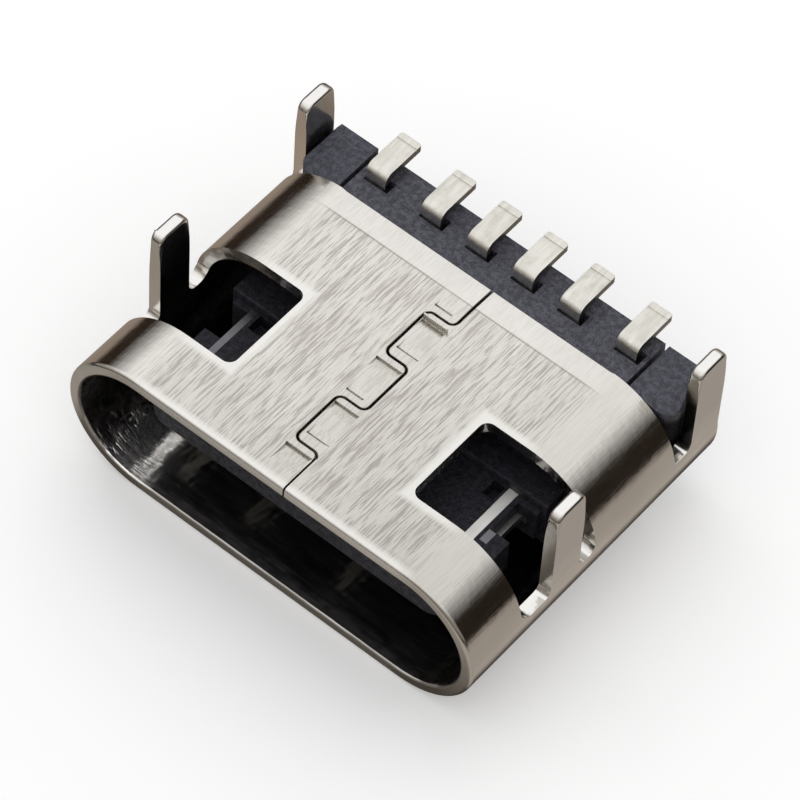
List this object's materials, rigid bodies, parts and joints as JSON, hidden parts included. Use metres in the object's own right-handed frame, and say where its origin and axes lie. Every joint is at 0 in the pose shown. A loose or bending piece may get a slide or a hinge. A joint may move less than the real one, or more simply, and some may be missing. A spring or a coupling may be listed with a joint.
{
  "type": "usb-c socket",
  "caption": "Short through-hole USB-C receptacle with a folded steel shell, straight board legs, a round-ended mouth with a contact tongue, and a row of flat solder feet at the back.",
  "frame": {"origin": "Middle of the overall width and length, on the plane of the floor side of the shell.", "axes": "+Z towards the solder side, up as the part lies in the picture; +Y from the mouth towards the solder feet; +X to the right when looking into the socket from behind the mouth along +Y with the solder side up."},
  "size_m": [0.0088, 0.007, 0.0038],
  "materials": {
    "shell_steel": "fine brushing along the plug direction on the flat sides, plain on the rounds",
    "plate_steel": "plain rolled sheet, satin",
    "housing_plastic": "moulded, matt, faintly mottled",
    "carrier_plastic": "moulded, matt, faintly mottled",
    "contact_metal": "copper alloy strip with a thin pale plating, satin"
  },
  "bodies": {
    "root": {"shell": "shell_steel", "mid_plate": "plate_steel", "housing": "housing_plastic", "lead_carrier": "carrier_plastic", "contact_a12": "contact_metal", "contact_a9": "contact_metal", "contact_a5": "contact_metal", "contact_b5": "contact_metal", "contact_b9": "contact_metal", "contact_b12": "contact_metal"}
  },
  "joints": []
}
